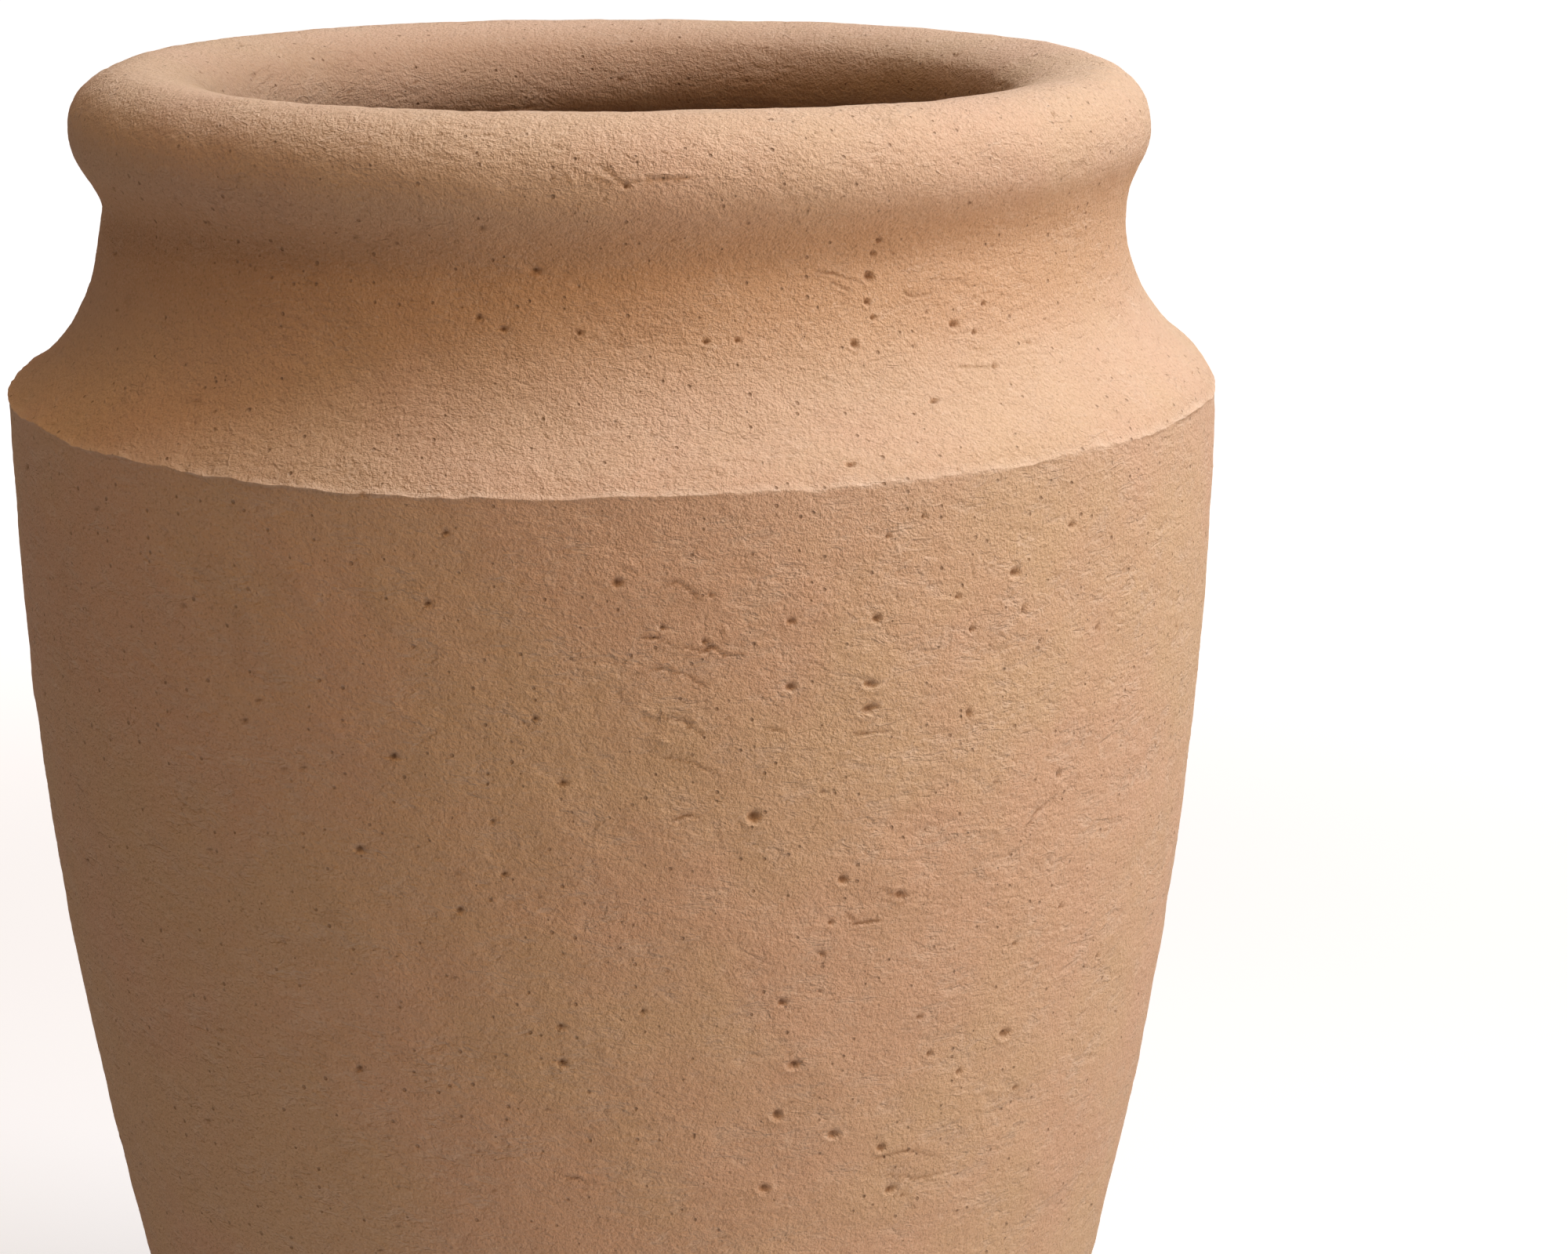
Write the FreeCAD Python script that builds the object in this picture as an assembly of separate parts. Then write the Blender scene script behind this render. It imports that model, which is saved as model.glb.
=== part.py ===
import FreeCAD, Part
import math
import os

# A tall storage jar built up in sections on a flat base. The axis is Z and the foot stands on z = 0.
# Every section is a closed ring turned from one slice of the jar's wall.

# Driving dimensions, millimetres and degrees
total_height = 700.0
body_diameter = 500.0      # over the sharp edge where shoulder meets wall
foot_diameter = 310.0      # where the wall's curve meets the ground
shoulder_width = 38.5      # from the sharp edge in to the neck's narrowest place
wall_thickness = 25.0
floor_thickness = 28.0

# Collar: everything above the sharp edge
collar_height = 130.0
roll_thickness = 50.0      # the round rim, seen in section
neck_undercut = 9.5        # how far the neck stands in from the rim's outer face
rim_fillet_radius = 50.0   # hollow under the rim, outside
edge_round_radius = 28.0   # soft turn of the shoulder just before the sharp edge
edge_slope = 18.0          # the shoulder's last slope at that edge, from the vertical

# Softened corners
foot_round_radius = 5.0
floor_fillet_radius = 40.0
inner_shoulder_radius = 45.0

# Heights of the sections, and the seats between them
base_height = 72.0         # floor with its upturned edge
shoulder_height = 36.0     # above the sharp edge
rim_root = 22.0            # the rim's root, below the middle of the roll
groove_depth = 4.0
groove_width_share = 0.6   # of the wall's width where the seat lies
groove_floor_share = 0.3   # the same, at the groove's flat bottom
overrun = 20.0             # how far a cut runs past the clay

wall_names = ["lower_wall", "middle_wall", "upper_wall", "belly_wall"]
cubic_mm_per_litre = 1e6
full_turn = 360

# Radii and heights that follow from them
body_radius = body_diameter / 2
roll_radius = roll_thickness / 2
neck_radius = body_radius - shoulder_width
rim_outer_radius = neck_radius + neck_undercut
mouth_radius = rim_outer_radius - roll_thickness
edge_z = total_height - collar_height


def at(radius, z):
    return FreeCAD.Vector(radius, 0, z)


def towards(start, end, distance):
    """The point at a distance from start, on the line from start through end."""
    return start + (end - start).normalize() * distance


def meeting_point(first_centre, first_reach, second_centre, second_reach):
    """Where two circles cross, on the right of the line from the first centre to the second."""
    line = second_centre - first_centre
    gap = line.Length
    along = (first_reach ** 2 - second_reach ** 2 + gap ** 2) / (2 * gap)
    aside = math.sqrt(first_reach ** 2 - along ** 2)
    line.normalize()
    return first_centre + line * along + at(line.z, -line.x) * aside


def short_arc(centre, first, last):
    """The arc of under half a circle from first to last, as an exact spline, whose turned face meshes finely
    enough with few triangles."""
    middle = centre + ((first - centre) + (last - centre)).normalize() * (first - centre).Length
    return Part.Arc(first, middle, last).toShape().toNurbs().Edges[0]


def straight(first, last):
    return Part.LineSegment(first, last).toShape()


def wall_curve():
    """Centre and radius of the body's long curve: upright at the sharp edge, it ends at the foot."""
    taper = body_radius - foot_diameter / 2
    radius = (taper ** 2 + edge_z ** 2) / (2 * taper)
    return at(body_radius - radius, edge_z), radius


def corner_centre(reach, height):
    """Centre of a round in the bottom corner: at a given height and reach from the wall's centre."""
    wall_centre, _ = wall_curve()
    rise = wall_centre.z - height
    return at(wall_centre.x + math.sqrt(reach ** 2 - rise ** 2), height)


def jar_profile():
    """The jar's wall and floor in section, from the axis outwards."""
    wall_centre, wall_radius = wall_curve()
    inner_wall_radius = wall_radius - wall_thickness
    edge = at(body_radius, edge_z)

    # Foot round, outside, and floor fillet, inside
    foot_centre = corner_centre(wall_radius - foot_round_radius, foot_round_radius)
    foot_low = at(foot_centre.x, 0)
    foot_high = towards(wall_centre, foot_centre, wall_radius)
    fillet_z = floor_thickness + floor_fillet_radius
    fillet_centre = corner_centre(inner_wall_radius - floor_fillet_radius, fillet_z)
    fillet_low = at(fillet_centre.x, floor_thickness)
    fillet_high = towards(wall_centre, fillet_centre, inner_wall_radius)

    # Roll of the rim, and the hollow under it that turns upright at the neck's narrowest height
    roll_centre = at(rim_outer_radius - roll_radius, total_height - roll_radius)
    crown = at(roll_centre.x, total_height)
    hollow_reach = roll_radius + rim_fillet_radius
    neck_drop = math.sqrt(hollow_reach ** 2 - (hollow_reach - neck_undercut) ** 2)
    neck_z = roll_centre.z - neck_drop
    hollow_centre = at(neck_radius + rim_fillet_radius, neck_z)
    hollow_top = towards(roll_centre, hollow_centre, roll_radius)
    neck = at(neck_radius, neck_z)

    # Soft turn at the sharp edge, and the long hollow of the shoulder that joins it to the neck
    slope = math.radians(edge_slope)
    round_centre = edge - at(math.cos(slope), math.sin(slope)) * edge_round_radius
    aside = neck_radius - round_centre.x
    rise = neck_z - round_centre.z
    cavetto_radius = (aside ** 2 + rise ** 2 - edge_round_radius ** 2) / (2 * (edge_round_radius - aside))
    cavetto_centre = at(neck_radius + cavetto_radius, neck_z)
    cavetto_low = towards(cavetto_centre, round_centre, cavetto_radius)

    # Inside: the neck and shoulder keep the wall's thickness, and the rim leans in over the neck
    inner_neck = at(neck_radius - wall_thickness, neck_z)
    lean = inner_neck.x - mouth_radius
    lip_radius = (neck_drop ** 2 + lean ** 2) / (2 * lean) - roll_radius
    lip_centre = at(inner_neck.x - lip_radius, neck_z)
    lip_top = towards(roll_centre, lip_centre, roll_radius)
    inner_cavetto_radius = cavetto_radius + wall_thickness
    turn_centre = meeting_point(wall_centre, inner_wall_radius - inner_shoulder_radius,
                                cavetto_centre, inner_cavetto_radius + inner_shoulder_radius)
    turn_top = towards(turn_centre, cavetto_centre, inner_shoulder_radius)
    turn_low = towards(wall_centre, turn_centre, inner_wall_radius)

    edges = [straight(at(0, 0), foot_low),
             short_arc(foot_centre, foot_low, foot_high),
             short_arc(wall_centre, foot_high, edge),
             short_arc(round_centre, edge, cavetto_low),
             short_arc(cavetto_centre, cavetto_low, neck),
             short_arc(hollow_centre, neck, hollow_top),
             short_arc(roll_centre, hollow_top, crown),
             short_arc(roll_centre, crown, lip_top),
             short_arc(lip_centre, lip_top, inner_neck),
             short_arc(cavetto_centre, inner_neck, turn_top),
             short_arc(turn_centre, turn_top, turn_low),
             short_arc(wall_centre, turn_low, fillet_high),
             short_arc(fillet_centre, fillet_high, fillet_low),
             straight(fillet_low, at(0, floor_thickness)),
             straight(at(0, floor_thickness), at(0, 0))]
    return Part.Face(Part.Wire(edges))


def seat_points(profile, z):
    """The seat at a height, from the axis out: a flat on each side of a groove in the middle of the wall."""
    level = straight(at(0, z), at(body_radius + overrun, z))
    clay = profile.common(level).BoundBox
    middle = (clay.XMin + clay.XMax) / 2
    half_top = (clay.XMax - clay.XMin) * groove_width_share / 2
    half_floor = (clay.XMax - clay.XMin) * groove_floor_share / 2
    return [at(0, z), at(middle - half_top, z), at(middle - half_floor, z - groove_depth),
            at(middle + half_floor, z - groove_depth), at(middle + half_top, z), at(body_radius + overrun, z)]


def slice_below(profile, z):
    """What lies under the seat at a height."""
    corners = seat_points(profile, z) + [at(body_radius + overrun, -overrun), at(0, -overrun)]
    edges = [straight(first, last) for first, last in zip(corners, corners[1:] + corners[:1])]
    return profile.common(Part.Face(Part.Wire(edges)))


def turned(face):
    return face.revolve(FreeCAD.Vector(0, 0, 0), FreeCAD.Vector(0, 0, 1), full_turn).Solids[0]


def seat_heights():
    """Heights of the seats, from the base's up to the rim's."""
    step = (edge_z - base_height) / len(wall_names)
    walls = [base_height + step * count for count in range(len(wall_names) + 1)]
    return walls + [edge_z + shoulder_height, total_height - roll_radius - rim_root]


def main():
    os.makedirs("parts", exist_ok=True)
    names = ["base"] + wall_names + ["shoulder", "neck", "rim_roll"]
    profile = jar_profile()
    lower = [slice_below(profile, z) for z in seat_heights()] + [profile]
    for count, name in enumerate(names):
        piece = lower[count].cut(lower[count - 1]) if count else lower[count]
        ring = turned(piece.Faces[0])
        print(name, "litres of clay:", round(ring.Volume / cubic_mm_per_litre, 3), "valid:", ring.isValid())
        ring.exportStep("parts/" + name + ".step")


main()
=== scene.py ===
import math
import bpy
import numpy as np
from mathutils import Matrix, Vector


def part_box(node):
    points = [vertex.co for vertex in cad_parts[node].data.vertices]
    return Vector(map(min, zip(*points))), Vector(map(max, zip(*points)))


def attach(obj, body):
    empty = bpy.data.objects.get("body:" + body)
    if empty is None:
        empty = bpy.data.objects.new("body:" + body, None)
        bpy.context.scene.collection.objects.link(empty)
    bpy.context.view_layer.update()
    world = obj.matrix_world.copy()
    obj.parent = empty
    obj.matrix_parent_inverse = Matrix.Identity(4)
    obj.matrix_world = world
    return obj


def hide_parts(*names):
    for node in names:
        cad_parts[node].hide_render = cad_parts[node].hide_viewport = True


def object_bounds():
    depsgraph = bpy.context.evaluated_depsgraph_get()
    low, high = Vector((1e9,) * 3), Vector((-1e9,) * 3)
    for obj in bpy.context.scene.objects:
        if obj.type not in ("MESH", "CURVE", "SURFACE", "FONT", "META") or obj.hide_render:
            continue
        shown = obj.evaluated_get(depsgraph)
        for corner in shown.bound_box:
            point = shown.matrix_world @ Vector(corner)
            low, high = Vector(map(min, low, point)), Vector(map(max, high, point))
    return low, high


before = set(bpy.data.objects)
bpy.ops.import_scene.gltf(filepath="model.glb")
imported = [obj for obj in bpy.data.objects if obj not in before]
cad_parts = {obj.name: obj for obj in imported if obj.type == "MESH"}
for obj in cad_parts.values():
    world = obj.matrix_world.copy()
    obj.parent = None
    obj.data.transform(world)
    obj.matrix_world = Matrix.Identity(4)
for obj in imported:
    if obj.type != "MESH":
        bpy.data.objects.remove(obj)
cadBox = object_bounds()
print("frame loaded:", len(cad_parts), "clay sections")

# Sizes in metres, angles in degrees. Heights and the width come from the frame.
jar = {
    "footDiameter": 0.310,
    "wallThickness": 0.025,
    "floorThickness": 0.028,
    "shoulderWidth": 0.0385,      # sharp edge to the neck's narrowest place
    "rollThickness": 0.050,
    "neckUndercut": 0.0095,
    "rimFilletRadius": 0.050,
    "edgeRoundRadius": 0.028,
    "edgeSlope": 18,              # shoulder's last slope at the sharp edge, from the vertical
    "footRoundRadius": 0.005,
    "floorFilletRadius": 0.040,
    "innerShoulderRadius": 0.045,
    "grooveDepth": 0.004,
    "grooveShare": 0.6,
    "grooveFloorShare": 0.3,
    "sections": ["base", "lower_wall", "middle_wall", "upper_wall", "belly_wall", "shoulder", "neck", "rim_roll"],
}
bodyRadius = cadBox[1].x
jarTop = cadBox[1].z
seatHeights = [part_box(name)[1].z for name in jar["sections"][:-1]]
edgeSeat = jar["sections"].index("belly_wall")    # the seat that lies at the sharp edge
edgeHeight = seatHeights[edgeSeat]
quarterTurn, halfTurn = math.pi / 2, math.pi
leastRadius = 0.05                # metres: nearer the axis than this, a width is worked out as if it lay here


def bearing(start, end):
    # direction from start to end, as an angle up from the level
    return math.atan2(end[1] - start[1], end[0] - start[0])


def placed(centre, angle, reach):
    # the point at a reach and an angle from centre
    return (centre[0] + reach * math.cos(angle), centre[1] + reach * math.sin(angle))


def jarLine():
    # the jar's section from the axis, under the foot, up outside, over the rim, down inside and back to the
    # axis, as runs (start, end) and arcs (centre, radius, first angle, last angle) that meet without a kink
    # everywhere but at the sharp edge
    taper = bodyRadius - jar["footDiameter"] / 2
    wallReach = (taper ** 2 + edgeHeight ** 2) / (2 * taper)
    wallCentre = (bodyRadius - wallReach, edgeHeight)
    innerReach = wallReach - jar["wallThickness"]
    footRound, floorRound = jar["footRoundRadius"], jar["floorFilletRadius"]
    floorTop = jar["floorThickness"]

    def cornerCentre(reach, height):
        # where a round of the bottom corner has its centre: reach from the wall's centre, at that height
        return (wallCentre[0] + math.sqrt(reach ** 2 - (edgeHeight - height) ** 2), height)

    footCentre = cornerCentre(wallReach - footRound, footRound)
    floorCentre = cornerCentre(innerReach - floorRound, floorTop + floorRound)
    neckRadius = bodyRadius - jar["shoulderWidth"]
    rollRadius = jar["rollThickness"] / 2
    rollCentre = (neckRadius + jar["neckUndercut"] - rollRadius, jarTop - rollRadius)
    hollowReach = rollRadius + jar["rimFilletRadius"]
    neckDrop = math.sqrt(hollowReach ** 2 - (hollowReach - jar["neckUndercut"]) ** 2)
    neckHeight = rollCentre[1] - neckDrop
    hollowCentre = (neckRadius + jar["rimFilletRadius"], neckHeight)
    slope = math.radians(jar["edgeSlope"])
    edgeRound = jar["edgeRoundRadius"]
    edgeCentre = placed((bodyRadius, edgeHeight), slope, -edgeRound)
    aside, rise = neckRadius - edgeCentre[0], neckHeight - edgeCentre[1]
    coveReach = (aside ** 2 + rise ** 2 - edgeRound ** 2) / (2 * (edgeRound - aside))
    coveCentre = (neckRadius + coveReach, neckHeight)
    innerNeck = neckRadius - jar["wallThickness"]
    lean = innerNeck - (rollCentre[0] - rollRadius)
    lipReach = (neckDrop ** 2 + lean ** 2) / (2 * lean) - rollRadius
    lipCentre = (innerNeck - lipReach, neckHeight)
    innerCove = coveReach + jar["wallThickness"]
    turnReach = jar["innerShoulderRadius"]
    first, second = innerReach - turnReach, innerCove + turnReach
    gap = math.dist(wallCentre, coveCentre)
    along = (first ** 2 - second ** 2 + gap ** 2) / (2 * gap)
    across = bearing(wallCentre, coveCentre) - math.acos(along / first)
    turnCentre = placed(wallCentre, across, first)

    wallStart = bearing(wallCentre, footCentre)
    coveStart = bearing(edgeCentre, coveCentre)
    rollStart = bearing(hollowCentre, rollCentre)
    lipStart = bearing(rollCentre, lipCentre) + 2 * halfTurn
    turnStart = bearing(coveCentre, turnCentre) + 2 * halfTurn
    turnEnd = bearing(wallCentre, turnCentre)
    floorStart = bearing(wallCentre, floorCentre)
    return [
        ((0, 0), (footCentre[0], 0)),
        (footCentre, footRound, -quarterTurn, wallStart),
        (wallCentre, wallReach, wallStart, 0),    # up to the sharp edge
        (edgeCentre, edgeRound, slope, coveStart),
        (coveCentre, coveReach, coveStart + halfTurn, halfTurn),
        (hollowCentre, jar["rimFilletRadius"], halfTurn, rollStart),
        (rollCentre, rollRadius, rollStart - halfTurn, quarterTurn),    # up to the crown
        (rollCentre, rollRadius, quarterTurn, lipStart),
        (lipCentre, lipReach, lipStart - halfTurn, 0),
        (coveCentre, innerCove, halfTurn, turnStart),
        (turnCentre, turnReach, turnStart - halfTurn, turnEnd),
        (wallCentre, innerReach, turnEnd, floorStart),
        (floorCentre, floorRound, floorStart, -quarterTurn),
        ((floorCentre[0], floorTop), (0, floorTop)),
    ]


lineParts = jarLine()
partLengths = [math.dist(*part) if len(part) == 2 else part[1] * abs(part[3] - part[2]) for part in lineParts]
partStarts = np.concatenate([[0], np.cumsum(partLengths)])
lineLength = partStarts[-1]


def onLine(travel):
    # radius, height and outward direction at each length of travel along the jar's section: on a run
    # start + share * (end - start), on an arc centre + radius * (cos, sin) of the turned angle; outward is
    # the line's direction turned a quarter to the right
    travel = np.asarray(travel, float)
    which = np.clip(np.searchsorted(partStarts, travel, side="right") - 1, 0, len(lineParts) - 1)
    spot = np.zeros(travel.shape + (2,))
    heading = np.zeros(travel.shape + (2,))
    for index, part in enumerate(lineParts):
        here = which == index
        share = (travel[here] - partStarts[index]) / partLengths[index]
        if len(part) == 2:
            start, end = np.array(part[0]), np.array(part[1])
            spot[here] = start + share[:, None] * (end - start)
            heading[here] = (end - start) / partLengths[index]
        else:
            centre, radius, first, last = part
            angle = first + share * (last - first)
            spot[here] = np.array(centre) + radius * np.stack([np.cos(angle), np.sin(angle)], -1)
            heading[here] = np.sign(last - first) * np.stack([-np.sin(angle), np.cos(angle)], -1)
    return spot[..., 0], spot[..., 1], heading[..., 1], -heading[..., 0]


# Where the line passes each seat, outside and inside
sampleTravel = np.linspace(0, lineLength, 40001)
sampleHeight = onLine(sampleTravel)[1]
crownIndex = int(np.argmax(sampleHeight))
outerSeats = np.interp(seatHeights, sampleHeight[:crownIndex], sampleTravel[:crownIndex])
innerSeats = np.interp(-np.array(seatHeights), -sampleHeight[crownIndex:], sampleTravel[crownIndex:])
footTravel, edgeTravel, neckTravel, rollTravel, crownTravel = [partStarts[k] for k in (1, 3, 5, 6, 7)]
outerSeats[edgeSeat] = edgeTravel
print("section worked out:", len(lineParts), "arcs and runs,", round(lineLength, 3), "m along")

grid = {
    "columns": 640,               # round the jar, outside
    "innerShare": 4,              # outer columns to one inner column
    "frontAngle": -70,            # where the columns lie closest, seen from above
    "closeness": 0.58,            # 0 even, towards 1 closer in front
    "outerRows": [60, 100, 128, 132, 132, 88, 100, 132],
    "innerStep": 0.0032,
}


def columnAngles(count):
    # angle of each column: a full turn, with a sine taken off so that the front has closer columns
    turn = np.arange(count) / count * 2 * math.pi
    return math.radians(grid["frontAngle"]) + turn - grid["closeness"] * np.sin(turn)


# Unevenness: its seed, how many waves, the longest and the shortest in metres, and how much shorter they are upwards
unevenness = {
    "slow": (11, 12, 0.4, 0.12, 1.0),
    "hand": (12, 26, 0.07, 0.022, 1.3),
    "skin": (13, 32, 0.012, 0.005, 1.5),
    "furrows": (14, 28, 0.030, 0.013, 3.2),
    "furrowed": (15, 16, 0.16, 0.05, 1.4),
    "edgeWave": (16, 8, 0.20, 0.06, 1.0),
    "edgeRag": (17, 18, 0.028, 0.008, 1.0),
    "ringWander": (19, 6, 0.5, 0.2, 1.0),
    "seams": (20, 10, 0.09, 0.03, 1.0),
    "edgeLip": (23, 12, 0.05, 0.015, 1.0),
    "edgeWearAndHighlight": (24, 12, 0.03, 0.01, 1.0),
}


def waves(points, name):
    # unit-strength unevenness: a sum of cosine waves through space, each in a seeded direction and of a
    # seeded length; waves that are shorter upwards make something that lies level
    seed, count, longest, shortest, flatten = unevenness[name]
    rng = np.random.default_rng(seed)
    direction = rng.normal(size=(count, 3))
    direction /= np.linalg.norm(direction, axis=1, keepdims=True)
    length = np.exp(rng.uniform(math.log(shortest), math.log(longest), count))
    pull = direction * (2 * math.pi / length)[:, None]
    pull[:, 2] *= flatten
    phase = rng.uniform(0, 2 * math.pi, count)
    total = np.zeros(points.shape[:-1])
    for one, shift in zip(pull, phase):
        total += np.cos(points @ one + shift)
    return total * math.sqrt(2 / count)


def eased(value, low, high):
    # 0 under low, 1 over high, and a smooth rise between
    share = np.clip((value - low) / (high - low), 0, 1)
    return share * share * (3 - 2 * share)


def within(value, rising, full, fading, gone):
    # 1 from full to fading, and 0 up to rising and from gone, with smooth slopes between
    return eased(value, rising, full) * (1 - eased(value, fading, gone))


pinch = {
    "most": 0.85,
    "fullTo": 0,                  # degrees round from the camera
    "goneFrom": 82,
    "least": 0.35,                # the share of it kept towards the right; all of it is kept at the left
}
relief = {
    "inset": 0.00035,             # the whole skin lies this far inside the drawn line
    "slow": 0.00028,              # metres, as all depths here
    "hand": 0.00015,
    "skin": 0.00005,
    "furrows": 0.00020,
    "furrowCut": 1.6,             # how deep a furrow is cut, and how high its banks stand, to that depth
    "furrowBank": 0.35,
    "edgeWave": 0.0007,           # rise and fall of the sharp edge where the photograph doesn't show it
    "edgeSeen": (-45, -25, 60, 90),    # where it does show it, in degrees round from the camera
    "edgeRag": 0.00028,
    "edgeReach": 0.009,
    "edgeWorn": 0.0005,           # taken off the edge at the right
    "edgeWornAt": (50, 72, 110, 150),
    "edgeLip": 0.00045,           # pushed up along the edge's upper side
    "edgeLipWidth": 0.0040,
    "edgeLipUneven": 0.4,
    "edgeWearAndHighlight": 0.8,            # how pale the edge is made, partly wear and partly painted highlight, how unevenly, and how far up
    "edgeWearAndHighlightUneven": 0.3,
    "edgeWearAndHighlightWidth": 0.0028,
    "rootHollow": 0.0030,         # pressed in under the rim, in front and at the left
    "rootPlace": 0.35,            # share of the way along the hollow under the rim
    "rootReach": 0.010,
    "rootPlain": (15, 70, 110, 170),   # degrees at the right where it isn't pressed in
    "mouthFull": 0.0120,          # extra thickness of the roll inside the mouth
    "mouthGrowth": 0.024,
    "mouthLevel": 0.004,
    "mouthFade": 0.045,
    "insidePaintedShade": 0.6,           # painted shade inside the jar: how brown the inside is made, 0 to 1
    "insidePaintedShadeFrom": 0.005,           # where that starts and is full, past the crown
    "insidePaintedShadeFull": 0.026,
    "insideHand": 0.00024,
    "ringHeight": 0.00035,        # throwing rings inside
    "ringSpacing": 0.015,
    "ringWander": 0.8,
    "ringFade": 0.03,
    "seamDepth": 0.0008,
    "seamReach": 0.006,
    "seamEven": 0.75,
    "seamUneven": 0.3,
}


def seatCorners(radius, height):
    # the corners of a seat's groove, from outside in: its two upper corners at the seat's height, and between
    # them its two lower ones; the flats run on to the skin on both sides
    outer, inner = radius
    middle, width = (outer + inner) / 2, outer - inner
    top, low = width * jar["grooveShare"] / 2, width * jar["grooveFloorShare"] / 2
    deep = height - jar["grooveDepth"]
    return [(middle + top, height), (middle + low, deep), (middle - low, deep), (middle - top, height)]


def outerRows():
    # travel of every outer row from the foot to the rim's inner seat, with the row number of each seat
    ends = [footTravel] + list(outerSeats) + [innerSeats[-1]]
    rows, seatAt = [np.array([ends[0]])], [0]
    for start, end, count in zip(ends[:-1], ends[1:], grid["outerRows"]):
        rows.append(np.linspace(start, end, count + 1)[1:])
        seatAt.append(seatAt[-1] + count)
    return np.concatenate(rows), seatAt


def fromCamera(angle):
    # degrees round the jar from the side that faces the camera, positive to the right
    return (np.degrees(angle) + 90 + 180) % 360 - 180


def pinchAt(angle):
    # how far the shoulder's swell is pressed in under the neck, 0 to 1: most in front and at the left, and not
    # at all at the right, where the outline shows the full swell; right behind the jar it ends in a small step
    turned = fromCamera(angle)
    front = 1 - eased(turned, pinch["fullTo"], pinch["goneFrom"])
    leftward = 0.5 + 0.5 * np.cos(np.radians(turned + 90))
    share = pinch["least"] + (1 - pinch["least"]) * leftward
    return pinch["most"] * np.where(turned < pinch["goneFrom"], front * share, 0)


def skinPoints(travel, angle, lift, rise=0.0):
    # the turned line, lifted outwards by lift and upwards by rise: x and y are radius times cos and sin; between
    # the neck's narrowest place and the sharp edge it leans towards one plain hollow arc by the pinch's share
    radius, height, outR, outZ = [part[:, None] for part in onLine(travel)]
    share = np.clip((travel - edgeTravel) / (neckTravel - edgeTravel), 0, 1)[:, None]
    between = (travel >= edgeTravel)[:, None] & (travel <= neckTravel)[:, None]
    neckRadius, neckHeight = onLine([neckTravel])[0][0], onLine([neckTravel])[1][0]
    aside, drop = bodyRadius - neckRadius, neckHeight - edgeHeight
    arcRadius = (aside ** 2 + drop ** 2) / (2 * aside)
    sweep = math.atan2(drop, arcRadius - aside) * (1 - share)
    press = np.where(between, pinchAt(angle)[None, :], 0)
    radius = radius + press * (neckRadius + arcRadius * (1 - np.cos(sweep)) - radius)
    height = height + press * (neckHeight - arcRadius * np.sin(sweep) - height)
    away = np.minimum(radius + lift * outR, bodyRadius)
    up = np.clip(height + lift * outZ + rise, 0, jarTop)
    return np.stack([away * np.cos(angle), away * np.sin(angle), up + 0 * away], -1)


def slopes(points, axis, closed):
    # central differences along one direction of a grid, wrapped round where it is closed
    if closed:
        return np.roll(points, -1, axis) - np.roll(points, 1, axis)
    return np.gradient(points, axis=axis)


def normalsOf(around, along):
    # outward normal: the cross of the way round and the way along the line, made unit length
    cross = np.cross(around, along)
    return cross / np.maximum(np.linalg.norm(cross, axis=-1, keepdims=True), 1e-12)


# Camera, as the photograph was taken: the picture is 2000 by 1600 pixels
picture = {
    "width": 2000,
    "height": 1600,
    "place": (0.0, -1.5, 0.8447),
    "right": 2.686,               # degrees that it looks right of the jar's axis
    "down": 14.419,
    "lens": 83.25,
    "sensor": 36.0,
}
cameraData = bpy.data.cameras.new("camera")
cameraData.lens = picture["lens"]
cameraData.sensor_width = picture["sensor"]
cameraData.clip_end = 60
camera = bpy.data.objects.new("camera", cameraData)
camera.location = picture["place"]
camera.rotation_euler = (quarterTurn - math.radians(picture["down"]), 0, -math.radians(picture["right"]))
bpy.context.scene.collection.objects.link(camera)
bpy.context.scene.camera = camera
print("camera placed")


def inPicture(points):
    # pixel across and down of each point: the camera's right and up parts over its forward part, times focus
    yaw, pitch = math.radians(picture["right"]), math.radians(picture["down"])
    forward = np.array([math.sin(yaw) * math.cos(pitch), math.cos(yaw) * math.cos(pitch), -math.sin(pitch)])
    right = np.array([math.cos(yaw), -math.sin(yaw), 0])
    upward = np.cross(right, forward)
    focus = picture["lens"] / picture["sensor"] * picture["width"]
    seen = points - np.array(picture["place"])
    depth = seen @ forward
    return (picture["width"] / 2 + focus * (seen @ right) / depth,
            picture["height"] / 2 - focus * (seen @ upward) / depth)


travelRows, seatRows = outerRows()
fineAngles = columnAngles(grid["columns"])
coarseAngles = fineAngles[::grid["innerShare"]]
drawnSkin = skinPoints(travelRows, fineAngles, np.zeros((len(travelRows), grid["columns"])))
rowRadius = onLine(travelRows)[0]
edgeRow = seatRows[edgeSeat + 1]

lift = relief["slow"] * waves(drawnSkin, "slow")
lift += relief["hand"] * waves(drawnSkin, "hand")
lift += relief["skin"] * waves(drawnSkin, "skin")
furrow = np.clip(1 - np.abs(waves(drawnSkin, "furrows")), 0, 1) ** 2
furrowed = eased(waves(drawnSkin, "furrowed"), -0.2, 1.0)
lift += relief["furrows"] * furrowed * (relief["furrowBank"] - relief["furrowCut"] * furrow)
lift -= relief["inset"]
paintedShadeAndWear = np.zeros_like(lift)   # painted shade and pale edge: how much darker brown each point is made, 0 to 1, as painted shade in pits, lines and inside, or how pale, 0 to -1, as wear and painted highlight above the sharp edge
print("skin made uneven")

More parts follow.
